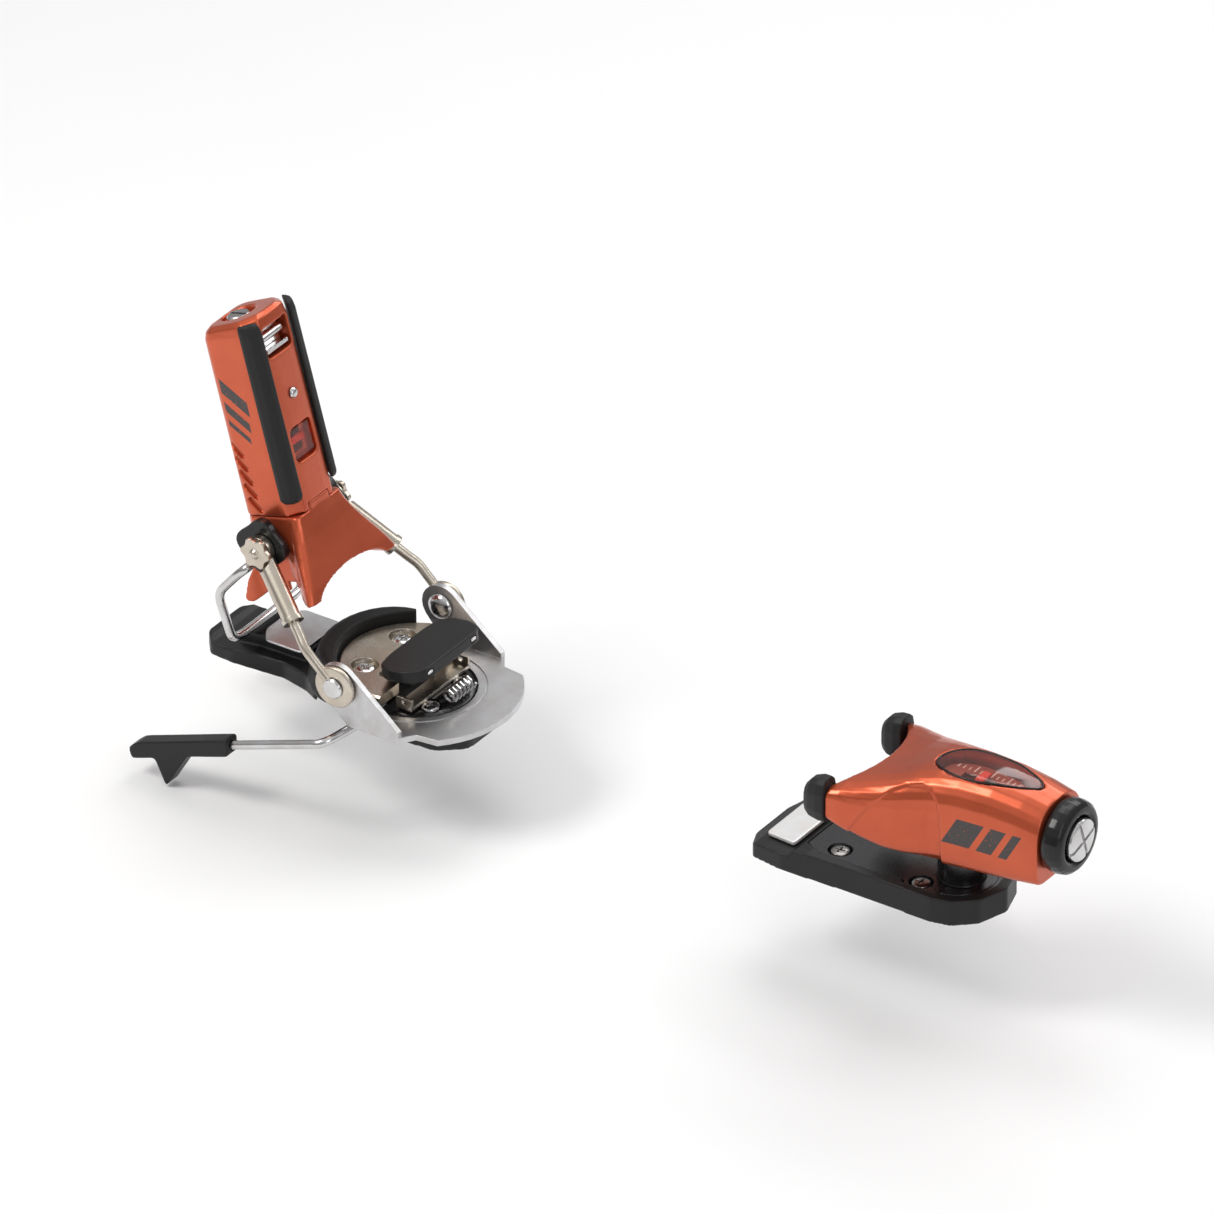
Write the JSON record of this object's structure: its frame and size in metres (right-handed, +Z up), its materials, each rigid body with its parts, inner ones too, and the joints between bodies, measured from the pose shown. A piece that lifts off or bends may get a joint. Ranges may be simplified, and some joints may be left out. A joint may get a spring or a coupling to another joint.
{
  "type": "alpine ski binding",
  "caption": "Alpine turntable ski binding: orange heel lever on swing arms over a rotating base, ski brake, and a single-post swivelling toe.",
  "frame": {"origin": "heel turntable axis on the ski's top surface", "axes": "+X forward along the ski from heel to toe, +Y to the skier's left, +Z up from the ski"},
  "size_m": [0.4911, 0.1194, 0.2354],
  "materials": {
    "orange_anodised": "metallic orange, satin gloss",
    "black_plastic": "moulded, fine grain",
    "black_rubber": "matt",
    "nickel_plate": "satin nickel",
    "blasted_aluminium": "bead blasted",
    "bright_steel": "bright",
    "dark_steel": "dark coated",
    "satin_slide": "satin",
    "smoked_window": "clear, smoked red",
    "red_pointer": "gloss"
  },
  "bodies": {
    "ski_side": {"heel_base": "black_plastic", "turntable_disc": "nickel_plate", "front_hub_plate": "dark_steel", "heel_mount_screw_1": "bright_steel", "heel_mount_screw_2": "bright_steel", "heel_mount_screw_3": "bright_steel", "heel_mount_screw_4": "bright_steel", "brake_bracket": "nickel_plate", "brake_spring": "bright_steel", "toe_base": "black_plastic", "toe_plate": "dark_steel", "slide_plate": "satin_slide", "toe_mount_screw_1": "bright_steel", "toe_mount_screw_2": "bright_steel", "toe_mount_screw_3": "bright_steel", "toe_mount_screw_4": "bright_steel", "swivel_post": "dark_steel"},
    "turntable": {"turntable_fork": "blasted_aluminium", "heel_rest": "black_rubber", "tail_body": "black_plastic", "tail_plate": "blasted_aluminium", "ear_rivet_l": "bright_steel", "ear_rivet_r": "bright_steel"},
    "arms": {"arm_rod_l": "nickel_plate", "arm_rod_r": "nickel_plate", "adjuster_sleeve_l": "nickel_plate", "adjuster_sleeve_r": "nickel_plate", "arm_axle": "bright_steel", "star_cap_l": "nickel_plate", "star_cap_r": "nickel_plate"},
    "lever": {"heel_housing": "orange_anodised", "heel_cup": "orange_anodised", "lever_link_block": "orange_anodised", "edge_strip_l": "black_rubber", "edge_strip_r": "black_rubber", "spring_yoke": "bright_steel", "front_rivet": "bright_steel", "indicator_window": "smoked_window", "hub_cover_l": "black_plastic", "hub_cover_r": "black_plastic", "heel_spring": "bright_steel"},
    "heel_screw": {"heel_setting_screw": "bright_steel"},
    "heel_pointer": {"heel_indicator": "red_pointer"},
    "heel_follower": {"heel_piston": "bright_steel"},
    "bail": {"rear_bail": "bright_steel"},
    "brake": {"brake_pad": "black_plastic", "brake_wire_l": "bright_steel", "brake_wire_r": "bright_steel", "brake_foot_l": "black_plastic", "brake_foot_r": "black_plastic"},
    "toe_wing": {"toe_body": "orange_anodised", "wing_lip_l": "black_rubber", "wing_lip_r": "black_rubber", "toe_window": "smoked_window", "toe_scale": "dark_steel", "toe_spring": "bright_steel", "toe_piston": "bright_steel", "toe_bezel": "black_rubber"},
    "toe_screw": {"toe_setting_screw": "bright_steel"},
    "toe_pointer": {"toe_indicator": "red_pointer"}
  },
  "joints": [
    {"name": "turntable_swivel", "type": "hinge", "parent": "ski_side", "child": "turntable", "pos_m": [0, 0, 0.0075], "axis": [0, 0, 1], "range_deg": [-15, 15]},
    {"name": "arm_swing", "type": "hinge", "parent": "turntable", "child": "arms", "pos_m": [-0.014, 0, 0.0268], "axis": [0, 1, 0], "range_deg": [-6, 0]},
    {"name": "lever_tilt", "type": "hinge", "parent": "arms", "child": "lever", "pos_m": [-0.0673, 0, 0.0745], "axis": [0, 1, 0], "range_deg": [0, 36.7]},
    {"name": "bail_swing", "type": "hinge", "parent": "lever", "child": "bail", "pos_m": [-0.076, 0, 0.061], "axis": [0, 1, 0], "range_deg": [-45.1, 0]},
    {"name": "heel_screw_turn", "type": "hinge", "parent": "lever", "child": "heel_screw", "pos_m": [-0.09401, 0, 0.16048], "axis": [-0.2689, 0, 0.9632], "range_deg": [-360, 360]},
    {"name": "heel_pointer_slide", "type": "slide", "parent": "lever", "child": "heel_pointer", "axis": [-0.2689, 0, 0.9632], "range_m": [-0.003, 0.003]},
    {"name": "heel_follower_slide", "type": "slide", "parent": "lever", "child": "heel_follower", "axis": [-0.2689, 0, 0.9632], "range_m": [0, 0.0031]},
    {"name": "brake_swing", "type": "hinge", "parent": "ski_side", "child": "brake", "pos_m": [-0.008, 0, 0.0032], "axis": [0, 1, 0], "range_deg": [0, 18]},
    {"name": "toe_swivel", "type": "hinge", "parent": "ski_side", "child": "toe_wing", "pos_m": [0.303, 0, 0.03], "axis": [0, 0, 1], "range_deg": [-30, 30]},
    {"name": "toe_screw_turn", "type": "hinge", "parent": "toe_wing", "child": "toe_screw", "pos_m": [0.36, 0, 0.0525], "axis": [1, 0, 0], "range_deg": [-360, 360]},
    {"name": "toe_pointer_slide", "type": "slide", "parent": "toe_wing", "child": "toe_pointer", "axis": [1, 0, 0], "range_m": [-0.003, 0.003]}
  ],
  "couplings": [
    {"joint": "lever_tilt", "follows": "arm_swing", "ratio": -6.1},
    {"joint": "bail_swing", "follows": "arm_swing", "ratio": 7.5},
    {"joint": "heel_follower_slide", "follows": "arm_swing", "m_per_rad": -0.0287},
    {"joint": "heel_pointer_slide", "follows": "heel_screw_turn", "m_per_rad": 0.000477},
    {"joint": "toe_pointer_slide", "follows": "toe_screw_turn", "m_per_rad": 0.000477}
  ]
}
